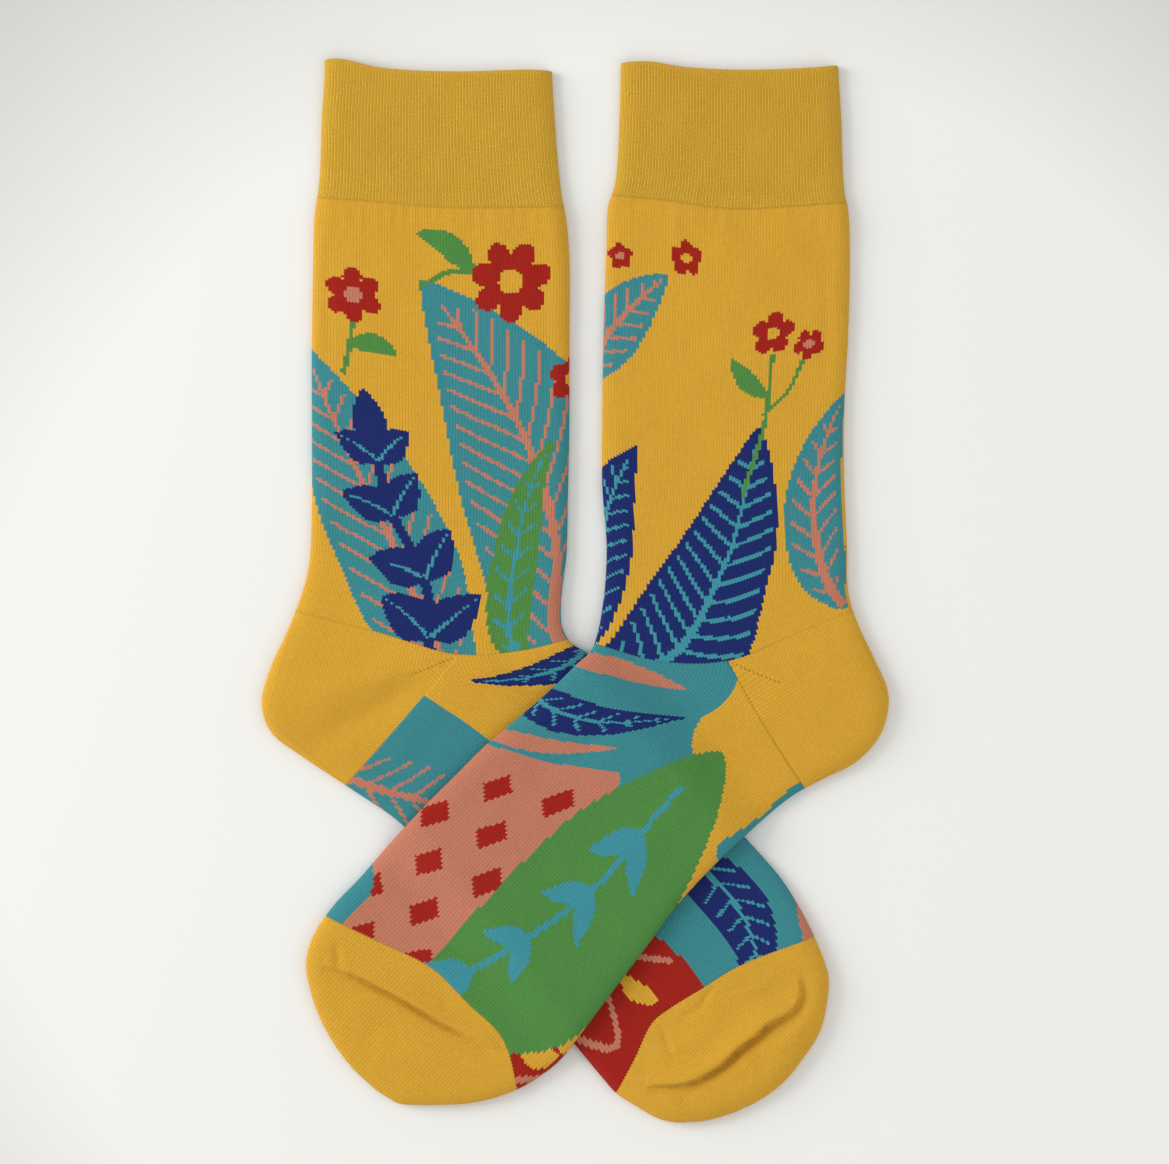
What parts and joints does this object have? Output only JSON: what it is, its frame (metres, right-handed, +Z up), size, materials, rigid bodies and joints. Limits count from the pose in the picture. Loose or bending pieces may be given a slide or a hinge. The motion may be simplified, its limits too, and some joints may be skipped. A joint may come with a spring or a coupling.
{
  "type": "pair of crew socks",
  "caption": "Pair of knitted crew socks laid flat and crossed at the feet, with plain ribbed cuffs, plain heels and toes, and patterned legs and feet.",
  "frame": {"origin": "middle of the pair's outline in plan, on the surface that it lies on", "axes": "+X across the two legs, towards the upper sock's leg; +Y up the legs, towards the cuffs; +Z up, out of the surface"},
  "size_m": [0.219, 0.3714, 0.0093],
  "materials": {
    "rib_knit": "matt fine rib knit, olive mustard",
    "plain_knit": "matt plain knit, mustard",
    "patterned_knit": "matt plain knit in mustard, teal, navy, salmon, red and green yarns"
  },
  "bodies": {
    "root": {"under_cuff": "rib_knit", "under_leg": "patterned_knit", "under_heel": "plain_knit", "under_foot": "patterned_knit", "under_toe": "plain_knit", "over_cuff": "rib_knit", "over_leg": "patterned_knit", "over_heel": "plain_knit", "over_foot": "patterned_knit", "over_toe": "plain_knit"}
  },
  "joints": []
}
